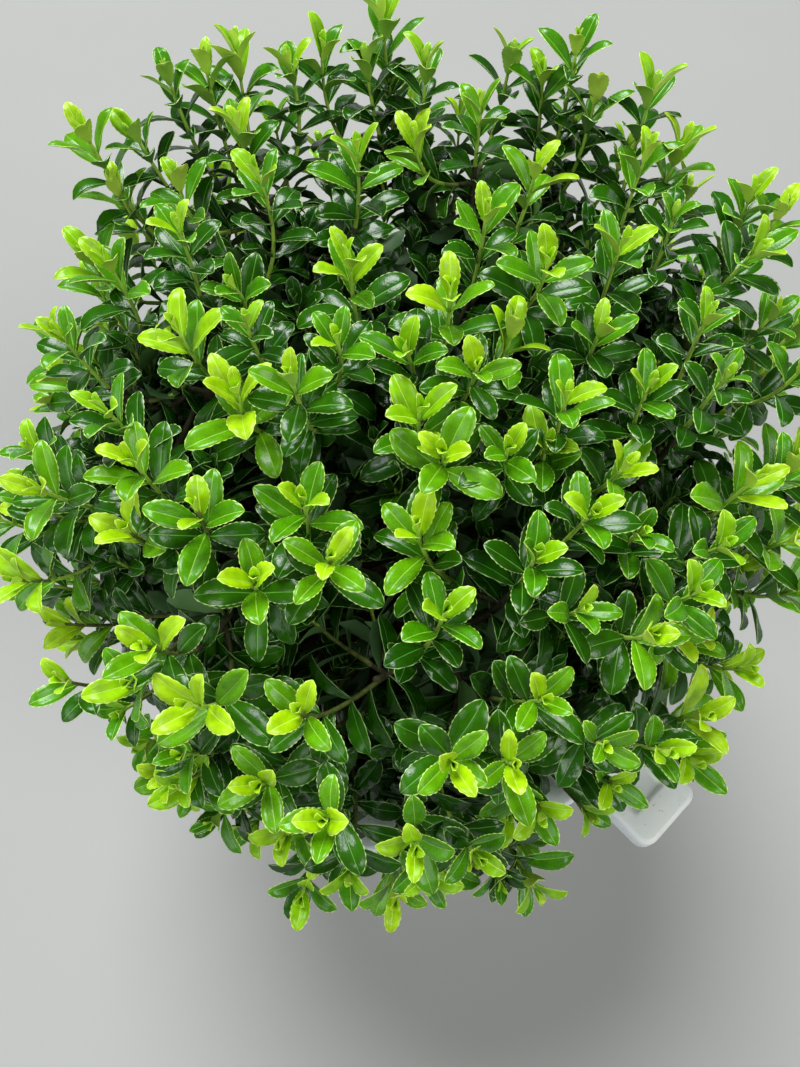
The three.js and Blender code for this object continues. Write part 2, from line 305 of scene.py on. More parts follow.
def bladeFinish(name, shade, roughness):
    # mottled between two close greens, with a fine grain that breaks up its gloss
    look = bladeTexture
    finish = Finish(name, look["ior"])
    mottle = finish.spread(finish.noise(*look["mottle"]), *look["mottleEdges"])
    darker, lighter = (scaled(shade, share) for share in look["greens"])
    finish.feed("Base Color", finish.blend(darker, lighter, mottle))
    grain = finish.noise(*look["grain"])
    added, grained = look["roughness"]
    finish.feed("Roughness", roughness + added + grain * grained)
    finish.bump(grain + finish.noise(*look["dents"]) * look["dentDepth"], *look["bump"])
    return finish.material


def plainLeafFinish(name, shade, roughness):
    # a margin, rib or underside: one green, slightly uneven
    look = plainTexture
    finish = Finish(name, look["ior"])
    mottle = finish.noise(*look["mottle"])
    darker, lighter = (scaled(shade, share) for share in look["greens"])
    finish.feed("Base Color", finish.blend(darker, lighter, mottle))
    added, mottled = look["roughness"]
    finish.feed("Roughness", roughness + added + mottle * mottled)
    return finish.material


# The crown's outline and the rule by which everything grows: the same as the solids'

crown = {
    "middle": 0.330,  # height of the widest level
    "reach": 0.236,
    "rise": 0.184,
    "fall": 0.106,
    "fullness": 3.3,
    "shift": 0.010,  # its middle lies this far back from the tub's axis
    "tilt": 0.6,  # heights over the soil grow by this share for each metre further back
    "lowestPolar": math.radians(112),
    "sectors": 7,
    "firstTurn": 0.35,
    "upperPolar": math.radians(48),
    "lowerPolar": math.radians(94),
    "massDepth": 0.74,
}

limb = {
    "gap": 0.0003,
    "trunkRadius": 0.012,
    "trunkThinning": 0.3,
    "trunkFlare": 0.007,
    "trunkHeight": 0.046,
    "trunkLean": np.array([0.005, 0.002, 0]),
    "boughBase": 0.0052,
    "boughTip": 0.0032,
    "boughRise": 0.55,
    "boughRun": 0.55,
    "boughEnd": 0.5,
    "lowestFork": 0.35,
    "highestFork": 0.85,
    "forkStep": 3,  # neighbouring boughs leave the trunk this many levels apart
    "leaderBase": 0.0065,
    "leaderRun": 0.060,
    "leaderRise": 0.42,
    "trunkSteps": 25,
    "ruleSteps": 41,  # along the boughs that the rule grows on from
    "barkSteps": 61,  # and along those that are seen
}

stem = {
    "reach": 0.7,
    "lowerShare": 0.62,  # where a lower mass's stem leaves its bough
    "firstTwig": 0.97,
    "lastTwig": 0.37,
    "radius": 0.0026,
    "steps": 9,
}


def crownPlace(polar, azimuth, share=1.0):
    # on the outline |sin|^n + |cos|^n = 1, with its own rise and fall
    across, rise = np.sin(polar), np.cos(polar)
    n = crown["fullness"]
    size = share / (across**n + np.abs(rise) ** n) ** (1 / n)
    radius = crown["reach"] * across * size
    back = radius * np.sin(azimuth)
    level = crown["middle"] + np.where(rise > 0, crown["rise"], crown["fall"]) * rise * size - soilTop
    height = soilTop + level * (1 + crown["tilt"] * back)
    return np.stack(np.broadcast_arrays(radius * np.cos(azimuth), back + crown["shift"], height), axis=-1)


sectorTurns = 2 * math.pi * np.arange(crown["sectors"]) / crown["sectors"] + crown["firstTurn"]
foot = np.array([0, 0, soilTop + limb["gap"]])
fork = np.array([0, 0, soilTop + limb["trunkHeight"]]) + limb["trunkLean"]
trunkMiddle = np.array([0, 0, soilTop + limb["trunkHeight"] / 2])
trunkPath = bends([foot], [trunkMiddle], [fork], limb["trunkSteps"])


def boughPaths(count):
    # each bough leaves the trunk at its own level, rises outwards and bends over to its end in the crown
    order = np.arange(crown["sectors"])
    turned = (order * limb["forkStep"] % crown["sectors"]) / crown["sectors"]
    level = mixed(limb["lowestFork"], limb["highestFork"], turned)
    rise = np.full(len(order), limb["boughRise"])
    out = unit(np.stack([np.cos(sectorTurns), np.sin(sectorTurns), rise], axis=1))
    root = onPaths(trunkPath, level[None])[0][0]
    tip = crownPlace(crown["upperPolar"], sectorTurns, limb["boughEnd"])
    run = np.linalg.norm(tip - root, axis=1, keepdims=True) * limb["boughRun"]
    return bends(root, root + out * run, tip, count)


def leaderPath(count):
    # on from the trunk's heading, and over to the crown's axis
    heading = onPaths(trunkPath, np.ones((1, 1)))[1][0, 0]
    tip = crownPlace(0.0, 0.0, limb["leaderRise"])
    return bends([fork + heading * limb["gap"]], [fork + heading * limb["leaderRun"]], [tip], count)


def massStems():
    # the middle of each mass, and the path of its stem: on from its bough's tip, or out of the bough's side
    boughs, leader = boughPaths(limb["ruleSteps"]), leaderPath(limb["ruleSteps"])
    ends = np.ones((crown["sectors"] + 1, 1))
    tips, tipHeadings = (rows[:, 0] for rows in onPaths(np.concatenate([leader, boughs]), ends))
    sides = onPaths(boughs, np.full((crown["sectors"], 1), stem["lowerShare"]))[0][:, 0]
    upper = crownPlace(crown["upperPolar"], sectorTurns, crown["massDepth"])
    lower = crownPlace(crown["lowerPolar"], sectorTurns + math.pi / crown["sectors"], crown["massDepth"])
    middles = np.concatenate([crownPlace(0.0, 0.0, crown["massDepth"])[None], upper, lower])
    start = np.concatenate([tips + tipHeadings * limb["gap"], sides])
    heading = np.concatenate([tipHeadings, unit(lower - sides)])
    hub = mixed(start, middles, stem["reach"])
    reach = np.linalg.norm(hub - start, axis=1, keepdims=True)
    return middles, bends(start, start + heading * reach / 2, hub, stem["steps"])


def shootHeading(polar, azimuth):
    # upright on top, and leaning out by the square of the share of the way down
    outward = np.stack([np.cos(azimuth), np.sin(azimuth), 0 * azimuth], axis=1)
    return unit(up + outward * (growth["sideLean"] * (polar / crown["lowestPolar"]) ** 2)[:, None])


def shootTips(count, crowding, setBack, seed):
    # tips go round the outline by the golden angle, each set back at random
    order = np.arange(count)
    share = ((order + 0.5) / count) ** crowding
    polar = np.arccos(1 - share * (1 - math.cos(crown["lowestPolar"])))
    azimuth = order * goldenAngle
    heading = shootHeading(polar, azimuth)
    chance = lehmer(seed, 2 * count).reshape(count, 2)
    tip = crownPlace(polar, azimuth) - heading * (setBack * chance[:, :1])
    return tip, heading, chance[:, 1] * math.pi


# How the shoots grow on from the solids' twigs
growth = {
    "mainShoots": 70,  # the twigs of the solids
    "mainCrowding": 1.2,
    "mainSeed": 4711,
    "mainRun": 0.096,  # how far below its tip a twig turns into its heading
    "setBack": 0.016,
    "shoots": 245,
    "crowding": 1.4,  # 1 spreads the shoots evenly, more crowds them on top
    "shootSeed": 977,
    "chanceSeed": 23,
    "sideLean": 1.25,
    "unevenness": 0.026,
    "tallOnes": 0.10,  # share of the shoots that stand out from the rest
    "tallness": 0.016,
    "jitter": (0.006, 0.006, 0.0018),
    "lean": 0.11,
    "run": 0.095,
    "longestRun": 0.75,  # the most of the way from the fork to the tip that the run takes
    "forkShare": (0.25, 0.55),
    "innerShoots": 370,  # weak shoots in the shade of the others
    "innerCrowding": 1.1,
    "innerSeed": 3301,
    "innerDepth": (0.055, 0.120),
    "innerRun": 0.05,
    "innerForkShare": (0.2, 0.5),
    "innerAge": 5.0,  # their leaves look this many pairs older
    "pathSteps": 25,
    "greenFrom": 8,  # the step from which a shoot's bark is still green
    "greeningFrom": 4,  # and from which it is half green
    "shade": 1.6,  # in hollows this much wider a shoot's bark stays half green to the tip: painted shade, darker than the green bark
    # where nothing grows: middle, half widths and up to which height
    "hollows": [
        ((-0.032, -0.146), (0.023, 0.026), 1.0),
        ((0.010, 0.075), (0.010, 0.030), 1.0),
        ((-0.175, -0.109), (0.062, 0.022), 1.0),  # a gap that runs in from the left edge
        ((0.150, -0.185), (0.040, 0.040), 0.345),  # over the lug, and only up to this height
        ((-0.024, -0.200), (0.013, 0.024), 1.0),  # two chinks that the rim shows through
        ((0.087, -0.194), (0.015, 0.021), 0.42),
    ],
    # the side where the crown is drawn in: its angle round the axis, its half width, how far
    "dent": (math.radians(-36), math.radians(17), 0.032),
    "room": (0.025, 0.038),  # least room between two tips, at the front and on top at the back
    "thinning": (-0.06, 0.08),  # over which depths the room grows
    "topFrom": 0.1,  # how far above the crown's widest level
}

# The tips of the shoots that stand out from the crown, mostly round its edge
standouts = np.array([
    [-0.012, 0.208, 0.528], [-0.095, 0.186, 0.522], [-0.112, 0.176, 0.520], [-0.133, 0.170, 0.518],
    [-0.047, 0.192, 0.518], [0.062, 0.190, 0.516], [0.098, 0.186, 0.523], [0.140, 0.161, 0.514],
    [-0.176, 0.133, 0.510], [0.157, 0.136, 0.498], [0.190, 0.100, 0.492], [0.204, 0.088, 0.490],
    [0.012, 0.179, 0.519], [-0.066, 0.188, 0.513], [-0.184, -0.137, 0.383], [-0.062, -0.236, 0.300],
    [-0.010, -0.238, 0.297], [0.069, -0.235, 0.302], [-0.112, -0.198, 0.315], [-0.134, -0.180, 0.346],
    [0.094, -0.211, 0.305], [0.016, -0.226, 0.295], [0.050, -0.230, 0.298], [0.150, -0.175, 0.358],
    [0.210, -0.095, 0.400], [-0.152, 0.142, 0.502], [0.080, 0.180, 0.510], [-0.022, 0.188, 0.514],
    [0.110, 0.168, 0.505],
])


def ownMass(tips, middles):
    # the mass whose middle is nearest
    return np.argmin(np.linalg.norm(tips[:, None] - middles[None], axis=2), axis=1)


def mainTwigs():
    # one twig from a mass's stem to each main shoot
    middles, stems = massStems()
    count, crowding = growth["mainShoots"], growth["mainCrowding"]
    tips, headings, _ = shootTips(count, crowding, growth["setBack"], growth["mainSeed"])
    mass = ownMass(tips, middles)
    number = np.array([np.sum(mass[:i] == mass[i]) for i in range(len(mass))])
    siblings = np.bincount(mass, minlength=len(middles))[mass]
    share = mixed(stem["firstTwig"], stem["lastTwig"], number / siblings)
    root = onPaths(stems[mass], share[:, None])[0][:, 0]
    return stems, bends(root, tips - headings * growth["mainRun"], tips, growth["pathSteps"])


def forkedFrom(twigs, tips, headings, forkShare, run, random):
    # each path leaves the nearest main twig at a share of its length and turns into its own heading
    near = np.argmin(np.linalg.norm(tips[:, None] - twigs[:, -1][None], axis=2), axis=1)
    share = random.uniform(*forkShare, len(tips))
    root = onPaths(twigs[near], share[:, None])[0][:, 0]
    run = np.minimum(run, np.linalg.norm(tips - root, axis=1) * growth["longestRun"])
    return bends(root, tips - headings * run[:, None], tips, growth["pathSteps"])


def standoutHeadings():
    # the heading that the rule gives a shoot where the standout is
    outward = standouts - [0, crown["shift"], crown["middle"]]
    radius = np.hypot(outward[:, 0], outward[:, 1])
    polar = np.arctan2(radius / crown["reach"], outward[:, 2] / crown["rise"])
    return shootHeading(polar, np.arctan2(outward[:, 1], outward[:, 0]))


def outerShoots(twigs, random):
    # spread by the rule, then shaken, drawn in at the dent, thinned out and joined by the standouts
    count = growth["shoots"]
    tips, headings, spin = shootTips(count, growth["crowding"], growth["unevenness"], growth["shootSeed"])
    tall = (random.uniform(0, 1, count) < growth["tallOnes"])[:, None]
    tips = tips + headings * tall * growth["tallness"]
    tips = tips + random.normal(0, 1, (count, 3)) * growth["jitter"]
    turn, width, depth = growth["dent"]
    outward = tips * [1, 1, 0] - [0, crown["shift"], 0]
    aside = np.arctan2(outward[:, 1], outward[:, 0]) - turn
    tips = tips - unit(outward) * (depth * np.exp(-((aside / width) ** 2)))[:, None]
    alone = apart(tips, np.concatenate([standouts, twigs[:, -1]]), random)
    tips = np.concatenate([tips[alone], standouts])
    headings = np.concatenate([headings[alone], standoutHeadings()])
    spin = np.concatenate([spin[alone], random.uniform(0, math.pi, len(standouts))])
    headings = unit(headings + random.normal(0, growth["lean"], headings.shape))
    return forkedFrom(twigs, tips, headings, growth["forkShare"], growth["run"], random), spin


def innerShoots(twigs, random):
    # the same spread, sunk into the crown towards the trunk's fork
    count = growth["innerShoots"]
    tips, headings, spin = shootTips(count, growth["innerCrowding"], 0, growth["innerSeed"])
    depth = random.uniform(*growth["innerDepth"], count)[:, None]
    tips = tips - unit(headings + unit(tips - fork)) * depth
    return forkedFrom(twigs, tips, headings, growth["innerForkShare"], growth["innerRun"], random), spin


def allShoots(twigs):
    # outer shoots and twigs that end in a hollow are left out
    random = np.random.default_rng(growth["chanceSeed"])
    outer, outerSpin = outerShoots(twigs, random)
    inner, innerSpin = innerShoots(twigs, random)
    paths = np.concatenate([outer, twigs, inner])
    spin = np.concatenate([outerSpin, random.uniform(0, math.pi, len(twigs)), innerSpin])
    age = np.repeat([0.0, 0.0, growth["innerAge"]], [len(outer), len(twigs), len(inner)])
    clear = ~inHollow(paths[:, -1]) | (age > 0)
    return {"paths": paths[clear], "spin": spin[clear], "age": age[clear]}


def apart(tips, taken, random):
    # taken one by one in a random order, a tip stays if no other lies within its room
    nearest, furthest = growth["thinning"]
    back = np.clip((tips[:, 1] - nearest) / (furthest - nearest), 0, 1)
    room = mixed(*growth["room"], back * (tips[:, 2] > crown["middle"] + growth["topFrom"]))
    kept = np.zeros(len(tips), bool)
    for k in random.permutation(len(tips)):
        kept[k] = np.linalg.norm(taken - tips[k], axis=1).min() > room[k]
        if kept[k]:
            taken = np.concatenate([taken, tips[k : k + 1]])
    return kept


def inHollow(points, wider=1.0):
    # inside one of the upright elliptical columns, and below its height
    inside = np.zeros(points.shape[:-1], bool)
    for middle, half, height in growth["hollows"]:
        near = (((points[..., :2] - middle) / (np.array(half) * wider)) ** 2).sum(-1) < 1
        inside |= near & (points[..., 2] < height)
    return inside


# Leaves

leafForm = {
    "length": 0.0316,
    "slimness": 0.385,  # width for each unit of length
    "outline": (1.1, 0.68),  # how slowly it widens from the stalk, and narrows to the tip
    "ends": (0.10, 0.11),  # the share of its width that is left there
    "crowding": 1.05,  # of its stations towards the stalk
    "thickness": 0.00034,
    "margin": 0.00006,
    "rib": 0.00028,
    "ribTaper": (1.1, 0.65),
    "ribRoom": 0.0001,  # the least of the blade beside the rib
    "tooth": 0.00044,
    "toothed": (0.1, 0.98),  # the stretch that has teeth
    "roll": 0.00017,  # how far the very edge is turned down
    "cup": (1.3, 0.55),
    "waves": 11,
    "fineness": 0.25,  # fine parts are full size on leaves that are short by this share
}


def halfWidth(u):
    # u^a (1-u)^b over its peak, kept open at the stalk and at the blunt tip
    a, b = leafForm["outline"]
    stalk, tip = leafForm["ends"]
    peak = a / (a + b)
    outline = u**a * (1 - u) ** b / (peak**a * (1 - peak) ** b)
    return np.maximum(outline, np.where(u < 0.5, stalk, tip))


roles = {"edge": 0, "inner": 1, "half": 2, "rib": 3, "under": 4}
looks = {"blade": 0, "margin": 1, "rib": 2, "underside": 3}
tints = 3  # close greens for the blades of each kind


def fannedStrip(outer, inner, turned):
    # triangles between two columns: of the outer's steps beside one of the inner's, the first half fan out
    # from its lower point and the rest from its upper one; a last triangle stands on the inner's step
    times = (len(outer) - 1) // (len(inner) - 1)
    fans = [
        (outer[k:-1:times], outer[k + 1 :: times], inner[:-1] if k < times // 2 else inner[1:])
        for k in range(times)
    ]
    fans.append((outer[times // 2 : -1 : times], inner[1:], inner[:-1]))
    made = np.concatenate([np.stack(fan, axis=1) for fan in fans])
    return made[:, ::-1] if turned else made


def leafTemplate(stations, teeth, bulging):
    # Columns run from the right edge to the left, rows from the stalk to the tip. The edge has the finest
    # steps, with a tooth at every other one; the line inside its margin has at most two to a station.
    coarse = np.linspace(0, 1, stations + 1) ** leafForm["crowding"]
    finer = lambda times: np.interp(np.arange(stations * times + 1) / times, np.arange(stations + 1), coarse)
    rows = {"edge": finer(max(1, 2 * teeth)), "inner": finer(min(2, 1 + teeth))}
    right = ["edge", "inner", "half", "rib"] if bulging else ["edge", "inner", "rib"]
    plan = [(part, -1) for part in right] + [(part, 1) for part in right[::-1]]
    across = len(plan)
    first, last = leafForm["toothed"]
    columns, values, total = [], [], 0
    for part, hand in [*plan, ("edge", -1), ("under", 0), ("edge", 1)]:
        u = rows.get(part, coarse)
        tooth = (part == "edge" and teeth > 0) * (np.arange(len(u)) % 2) * (u > first) * (u < last)
        values.append(np.stack([u, 0 * u + hand, 0 * u + roles[part], tooth]))
        columns.append(np.arange(total, total + len(u)))
        total += len(u)
    strips, kinds = [], []
    for k in range(across - 1):
        left = k >= across // 2
        strips.append(fannedStrip(columns[k + left], columns[k + 1 - left], left))
        parts = (plan[k][0], plan[k + 1][0])
        look = "margin" if "edge" in parts else "rib" if plan[k] == ("rib", -1) else "blade"
        kinds.append(np.full(len(strips[-1]), looks[look]))
    strips.append(fannedStrip(columns[across], columns[across + 1], True))
    strips.append(fannedStrip(columns[-1], columns[-2], False))
    kinds.append(np.full(len(strips[-1]) * 2, looks["underside"]))
    base, tip = ([column[k] for column in columns[:across]] + [columns[across + 1][k]] for k in (0, -1))
    return {
        "values": np.concatenate(values, axis=1),
        "faces": [np.concatenate(strips), np.array([base, tip[::-1]])],
        "kinds": [np.concatenate(kinds), np.full(2, looks["underside"])],
    }


def leafPoints(form, leaf):
    # The middle line turns through droop * (0.3 - u^1.5), rises by the integral of that and is drawn in by
    # droop^2 u^3 / 8. Each half of the blade rises from the rib by fold * its width * (a s - b s^2), where a
    # and b are the cup and s is the share of the way out to the margin, and its outer part waves.
    u, side, role, tooth = form["values"]
    size = leaf["length"][:, None]
    grown = np.minimum(size / leafForm["length"] + leafForm["fineness"], 1)
    half = leaf["width"][:, None] / 2 * halfWidth(u)
    ribBase, ribLoss = leafForm["ribTaper"]
    rib = leafForm["rib"] * (ribBase - ribLoss * u) * grown
    inner = np.maximum(half, rib + leafForm["ribRoom"])
    edge = inner + (leafForm["margin"] + tooth * leafForm["tooth"]) * grown
    reaches = [edge, inner, mixed(rib, inner, 0.5), rib]
    reach = np.select([role == part for part in range(len(reaches))], reaches, 0.0)
    share = np.minimum(reach / inner, 1)
    along = np.sin(leafForm["waves"] * u + leaf["phase"][:, None]) * np.sin(math.pi * u)
    wave = leaf["wave"][:, None] * size * along
    steep, flatter = leafForm["cup"]
    rise = leaf["fold"][:, None] * inner * (steep * share - flatter * share**2)
    rise = rise + wave * side * (role <= roles["inner"]) - leafForm["roll"] * grown * (role == roles["edge"])
    rise = rise - leafForm["thickness"] * (role == roles["under"])
    droop = leaf["droop"][:, None]
    turn = droop * (0.3 - u**1.5)
    ahead = size * (u - droop**2 * u**3 / 8) - np.sin(turn) * rise
    lift = size * droop * (0.3 * u - u**2.5 / 2.5) + np.cos(turn) * rise
    aside = np.cross(leaf["lift"], leaf["along"])
    sway = leaf["sway"][:, None] * size * u**2
    parts = ((ahead, leaf["along"]), (lift, leaf["lift"]), (side * reach + sway, aside))
    return leaf["root"][:, None] + sum(amount[..., None] * way[:, None] for amount, way in parts)


# How the leaves stand on a shoot. Pairs are counted down from its tip, and chances are standard deviations.
habit = {
    "seed": 61,
    "pairs": 14,
    "firstDepth": 0.0006,  # how far below the tip the buds sit
    "internode": 0.0053,
    "spacing": (0.70, 0.36),  # a pair's depth in internodes: a n + b n^1.5
    "vigour": (0.12, 0.07, 0.45),  # what it adds to internodes and leaves, and takes off their age
    "offAxis": 0.0004,  # a leaf's root lies this far up or down from its pair
    "twist": 0.13,
    "spread": (69, 57, 2.0, 1.2, 0.10),  # degrees: a - b exp(-(n / c)^d), and its chance in radians
    "leastSpread": 0.1,
    "upturn": (0.35, 2),  # faces turn to the sky by this much, on the pairs after this one
    "roll": 0.16,
    "growth": (0.55, 1.15),  # lengths grow as 1 - exp(-(n + a) / b)
    "unlike": 0.07,  # chance in length and in slimness
    "droop": (0.40, 0.05, 8, 0.16),  # at the tip, added by each pair down to which one, and its chance
    "fold": (0.62, -0.04, 4, 0.08),
    "wave": 0.012,
    "phases": 6,  # waves begin anywhere within these radians
    "sway": 0.05,
    "ageing": 0.25,
    "fallen": (8, 0.06),  # the pair from which leaves are missing, and how many more with each pair
    "clear": (0.9, 0.7, 0.8),  # where a leaf is tested against the tub and the hollows, and their width then
    "barePart": 0.03,  # share of a shoot's path at its root that has no leaves
}


def allLeaves(shoots):
    # every pair of leaves of every shoot, each a quarter turn on from the pair above
    random = np.random.default_rng(habit["seed"])
    count, pairs = len(shoots["spin"]), habit["pairs"]
    pair = np.arange(pairs)
    shape = (count, pairs, 2)
    step = pair[:, None]

    def drawn(first, more, last, chance):
        return first + more * np.minimum(step, last) + random.normal(0, chance, shape)

    vigour = random.normal(0, 1, count)
    longer, larger, younger = habit["vigour"]
    even, growing = habit["spacing"]
    internode = habit["internode"] * (1 + longer * vigour)[:, None]
    below = habit["firstDepth"] + internode * (pair * even + pair**1.5 * growing)
    length = lengths(shoots["paths"])[:, None]
    place, axis = onPaths(shoots["paths"], 1 - below / length)
    hand = np.broadcast_to(np.array([1.0, -1.0]), shape)
    offset = (hand * habit["offAxis"])[..., None]
    place = np.broadcast_to(place[:, :, None], (*shape, 3)) + axis[:, :, None] * offset
    axis = np.broadcast_to(axis[:, :, None], (*shape, 3))
    twist = shoots["spin"][:, None, None] + step * math.pi / 2 + random.normal(0, habit["twist"], shape)
    hint = np.stack([np.cos(twist), np.sin(twist), 0 * twist], axis=-1)
    across = facing(axis, hint) * hand[..., None]
    widest, less, within, power, chance = habit["spread"]
    spread = np.radians(widest - less * np.exp(-((step / within) ** power))) + random.normal(0, chance, shape)
    spread = np.maximum(spread, habit["leastSpread"])[..., None]
    along = axis * np.cos(spread) + across * np.sin(spread)
    upturn, after = habit["upturn"]
    lift = facing(along, axis + up * upturn * (pair > after)[:, None, None])
    roll = random.normal(0, habit["roll"], shape)[..., None]
    lift = lift * np.cos(roll) + np.cross(along, lift) * np.sin(roll)
    start, pace = habit["growth"]
    size = leafForm["length"] * (1 - np.exp(-(step + start) / pace))
    size = size * (1 + larger * vigour)[:, None, None] * random.normal(1, habit["unlike"], shape)
    slim = leafForm["slimness"] * random.normal(1, habit["unlike"], shape)
    age = np.broadcast_to(step + (shoots["age"] - younger * vigour)[:, None, None], shape)
    leaf = {
        "root": place,
        "along": along,
        "lift": lift,
        "length": size,
        "width": size * slim,
        "droop": drawn(*habit["droop"]),
        "fold": drawn(*habit["fold"]),
        "wave": random.normal(0, habit["wave"], shape),
        "phase": random.uniform(0, habit["phases"], shape),
        "sway": random.normal(0, habit["sway"], shape),
        "age": age + random.normal(0, habit["ageing"], shape),
        "tint": np.broadcast_to(random.integers(0, tints, count)[:, None, None], shape),
    }
    after, more = habit["fallen"]
    nearTip, further, width = habit["clear"]
    reach = along * size[..., None]
    kept = random.uniform(0, 1, shape) > np.maximum(0, (step - after) * more)
    kept &= clearOfTub(place + reach * nearTip) & clearOfTub(place)
    kept &= (below < length * (1 - habit["barePart"]))[:, :, None]
    kept &= ~inHollow(place + reach * further, width)
    return {key: rows[kept] for key, rows in leaf.items()}


def clearOfTub(points):
    # outside the rim and the wall, or above them, and above the soil
    radius, height = np.hypot(points[..., 0], points[..., 1]), points[..., 2]
    inside = (radius < tub["mouth"] - tub["leafRoomInside"]) & (height > soilTop + tub["leafRoomBelow"])
    return (height > tubTop + tub["leafRoom"]) | (radius > tub["rim"] + tub["leafRoom"]) | inside


plainParts = {"margin": 0.4, "rib": 0.38, "underside": 0.6}  # the parts in one colour, and how rough they are

leafKinds = [
    {
        "name": "tip_leaves",
        "pieces": 1,
        "upTo": 1.5,  # how many pairs below the tip
        "form": (4, 2, True),  # stations, teeth to each of them, with bulging halves
        "blades": [(150, 202, 0), (164, 210, 4), (134, 192, 0)],
        "margin": (204, 230, 92),
        "rib": (192, 226, 84),
        # the leaf's paler underside, lightened past its blade by a painted glow of light shining through
        "underside": (206, 236, 90),
        "roughness": 0.34,
    },
    {
        "name": "young_leaves",
        "pieces": 1,
        "upTo": 3.0,
        "form": (5, 2, True),
        "blades": [(78, 146, 0), (94, 158, 0), (66, 134, 0)],
        "margin": (190, 222, 104),
        "rib": (146, 200, 70),
        # the leaf's paler underside, lightened past its blade by a painted glow of light shining through
        "underside": (170, 212, 84),
        "roughness": 0.27,
    },
    {
        "name": "grown_leaves",
        "pieces": 2,
        "upTo": 5.2,
        "form": (5, 2, False),
        "blades": [(37, 92, 0), (45, 102, 0), (31, 83, 0)],
        "margin": (170, 204, 122),
        "rib": (100, 164, 62),
        # the leaf's paler underside, lightened further by a painted glow of light shining through
        "underside": (108, 150, 74),
        "roughness": 0.23,
    },
    {
        "name": "old_leaves",
        "pieces": 3,
        "upTo": 9.0,
        "form": (4, 1, False),
        "blades": [(29, 82, 0), (35, 90, 0), (25, 74, 0)],
        "margin": (142, 180, 108),
        "rib": (74, 130, 58),
        "underside": (78, 118, 60),
        "roughness": 0.23,
    },
    {
        "name": "inner_leaves",
        "pieces": 1,
        "upTo": 99.0,
        "form": (4, 0, False),
        "blades": [(22, 64, 0), (27, 71, 0), (19, 57, 0)],
        "margin": (104, 138, 90),
        "rib": (56, 98, 48),
        "underside": (62, 96, 52),
        "roughness": 0.27,
    },
]


def leafPieces(kind, leaves, youngest):
    # one kind's leaves, cut into pieces of equal count that follow each other round the crown
    chosen = np.flatnonzero((leaves["age"] > youngest) & (leaves["age"] <= kind["upTo"]))
    around = np.arctan2(leaves["root"][chosen, 1], leaves["root"][chosen, 0])
    name = kind["name"]
    finishes = [
        bladeFinish(f"{name}_{number}", colour(*shade), kind["roughness"])
        for number, shade in enumerate(kind["blades"])
    ]
    for part, roughness in plainParts.items():
        finishes.append(plainLeafFinish(f"{name}_{part}", colour(*kind[part]), roughness))
    form = leafTemplate(*kind["form"])
    for number, part in enumerate(np.array_split(chosen[np.argsort(around)], kind["pieces"])):
        ownLeaves = {key: rows[part] for key, rows in leaves.items()}
        piece = leafPiece(f"{name}_{number + 1}", form, ownLeaves, finishes)
        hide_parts(*massNodes)


def leafPiece(name, form, leaf, finishes):
    # the template laid out once for each leaf; a blade's green goes by its shoot
    points = leafPoints(form, leaf)
    count, size = points.shape[:2]
    shift = (np.arange(count) * size)[:, None, None]
    faces = [(rows[None] + shift).reshape(-1, rows.shape[1]) for rows in form["faces"]]
    kinds = []
    for rows in form["kinds"]:
        tint = np.broadcast_to(leaf["tint"][:, None], (count, len(rows)))
        kinds.append(np.where(rows[None] == looks["blade"], tint, rows[None] + tints - 1).ravel())
    piece = addPiece(name, points.reshape(-1, 3), faces, finishes, np.concatenate(kinds))
    triangles = count * sum(len(rows) * (rows.shape[1] - 2) for rows in form["faces"])
    print(name, count, "leaves,", triangles, "triangles")
    return piece


# Twigs

twigForm = {
    "sides": 6,
    "swelling": 1.25,  # a mass's stem is this much thicker at its root
    "stemEnd": 0.0023,
    "main": (0.0021, 0.0017),  # the lower part of a twig that the solids have too
    "mainSteps": 15,  # how many points of its path that part takes
    "radii": (0.0017, 0.00155, 0.0014, 0.0009),  # a shoot's, at its root, half green, green and at its tip
}

# name, light, dark and how fine the streaks are
twigBarks = [
    ("twig_bark", (66, 64, 30), (38, 38, 20), 420),
    ("greening_and_shade_twig_bark", (106, 118, 50), (74, 84, 36), 420),
    ("green_twig", (170, 204, 78), (132, 172, 56), 520),
]


def tapered(paths, base, end):
    # tubes whose radius runs evenly from base to end
    rings, sides = paths.shape[1], twigForm["sides"]
    radii = np.broadcast_to(np.linspace(base, end, rings), paths.shape[:2])
    return sweep(paths, radii, sides).reshape(-1, 3), sweepFaces(len(paths), rings, sides)


def twigPieces(stems, twigs, shoots):
    # woody below, half green further up, and green from there to the tip, save in the hollows, where the
    # green stretch takes the darker half-green bark as painted shade
    woody, greeningAndPaintedShade, green = (barkFinish(*look) for look in twigBarks)
    early, late = growth["greeningFrom"], growth["greenFrom"]
    root, lower, upper, tip = twigForm["radii"]
    paths = shoots["paths"]
    branches = [
        (stems, stem["radius"] * twigForm["swelling"], twigForm["stemEnd"], 0),
        (twigs[:, : twigForm["mainSteps"] : 2], *twigForm["main"], 0),
        (paths[:, : early + 1 : 2], root, lower, 0),
        (paths[:, early : late + 1 : 2], lower, upper, 1),
    ]
    points, faces, kinds, total = [], [], [], 0
    for lines, base, end, finish in branches:
        made, madeFaces = tapered(lines, base, end)
        points.append(made)
        for rows in madeFaces:
            faces.append(rows + total)
            kinds.append(np.full(len(rows), finish))
        total += len(made)
    points, kinds = np.concatenate(points), np.concatenate(kinds)
    old = addPiece("woody_twigs", points, faces, [woody, greeningAndPaintedShade], kinds)
    points, faces = tapered(paths[:, late::2], upper, tip)
    # green stretches inside the widened hollows get the darker half-green bark: painted shade
    paintedShade = inHollow(paths[:, late + 2 :: 2], growth["shade"])
    kinds = np.concatenate([np.repeat(paintedShade.ravel(), twigForm["sides"]), paintedShade[:, 0], paintedShade[:, -1]])
    young = addPiece("green_twigs", points, faces, [green, greeningAndPaintedShade], kinds)
    for piece in (old, young):
        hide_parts(*massNodes)


# Bark

